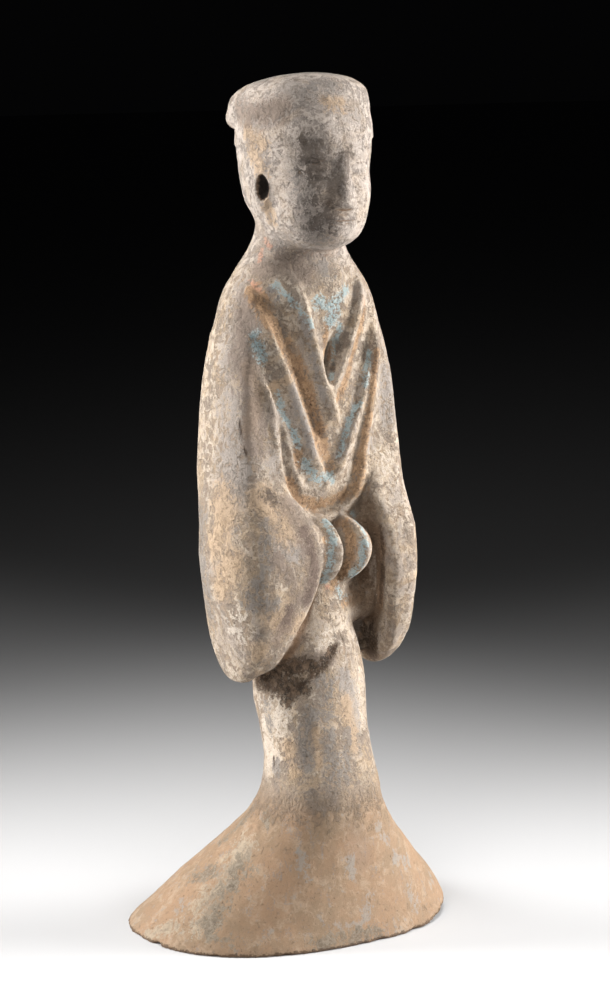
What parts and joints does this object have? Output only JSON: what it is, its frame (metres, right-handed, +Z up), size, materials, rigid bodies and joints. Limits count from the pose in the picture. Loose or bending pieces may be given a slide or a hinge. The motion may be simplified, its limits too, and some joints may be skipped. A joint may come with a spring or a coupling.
{
  "type": "painted tomb figure",
  "caption": "Standing robed attendant of painted fired clay, with a soft cap, crossed lapels, hands joined in wide hanging sleeves and a flared hem that it stands on.",
  "frame": {"origin": "middle of the hem's underside, which is the middle of the figure's box at the ground", "axes": "+Z up along the figure's height, -Y the way the figure faces, +X towards the figure's own left hand"},
  "size_m": [0.16, 0.12, 0.4],
  "materials": {
    "painted_clay": "matt fired clay with worn slip and pigment"
  },
  "bodies": {
    "root": {"figure": "painted_clay"}
  },
  "joints": []
}
